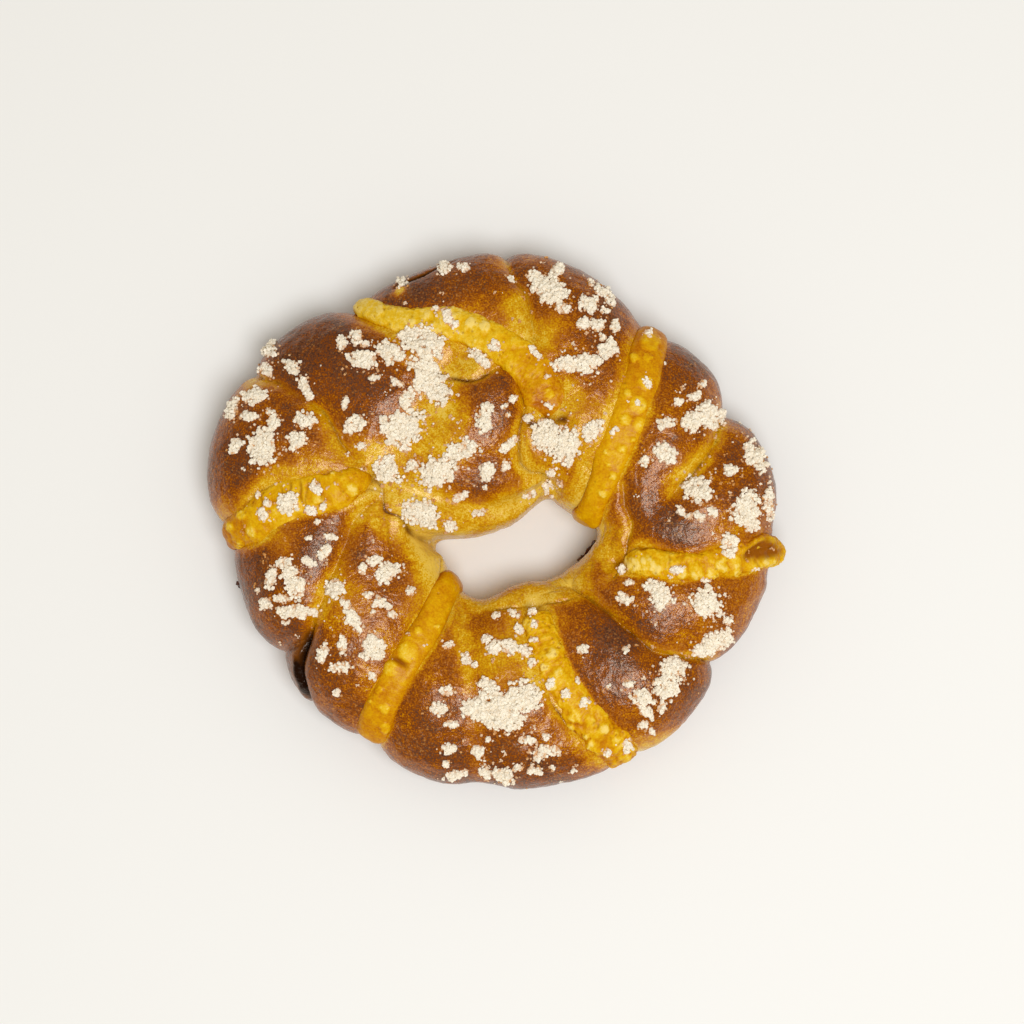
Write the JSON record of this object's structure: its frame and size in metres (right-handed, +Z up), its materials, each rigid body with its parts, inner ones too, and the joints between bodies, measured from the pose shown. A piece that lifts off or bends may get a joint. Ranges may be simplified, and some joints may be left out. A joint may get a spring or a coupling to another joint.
{
  "type": "sweet bread ring",
  "caption": "Plaited sweet bread baked as a low ring round an open hole, with strips of baked custard in its grooves and clumps of coarse sugar on top.",
  "frame": {"origin": "centre of the loaf's bounding box at the level of its flat underside", "axes": "+Z up through the hole, +X along the longer way across the ring, +Y towards the widest part of the plait behind the hole"},
  "size_m": [0.2731, 0.2536, 0.0597],
  "materials": {
    "crust": "egg-washed bread crust, dark brown on the lobes and golden in the grooves, softly glossy",
    "custard": "baked yellow custard with a thin dull skin and small raised bubbles",
    "sugar": "crumbly off-white sugar grains"
  },
  "bodies": {
    "root": {"bread": "crust", "custard_strip_top": "custard", "custard_strip_upper_right": "custard", "custard_strip_right": "custard", "custard_strip_lower_right": "custard", "custard_strip_lower_left": "custard", "custard_strip_left": "custard", "sugar_clump_01": "sugar", "sugar_clump_02": "sugar", "sugar_clump_03": "sugar", "sugar_clump_04": "sugar", "sugar_clump_05": "sugar", "sugar_clump_06": "sugar", "sugar_clump_07": "sugar", "sugar_clump_08": "sugar", "sugar_clump_09": "sugar", "sugar_clump_10": "sugar", "sugar_clump_11": "sugar", "sugar_clump_12": "sugar", "sugar_clump_13": "sugar", "sugar_clump_14": "sugar", "sugar_clump_15": "sugar", "sugar_clump_16": "sugar", "sugar_clump_17": "sugar", "sugar_clump_18": "sugar", "sugar_clump_19": "sugar", "sugar_clump_20": "sugar", "sugar_clump_21": "sugar", "sugar_clump_22": "sugar", "sugar_clump_23": "sugar", "sugar_clump_24": "sugar", "sugar_clump_25": "sugar", "sugar_clump_26": "sugar", "sugar_clump_27": "sugar", "sugar_clump_28": "sugar"}
  },
  "joints": []
}
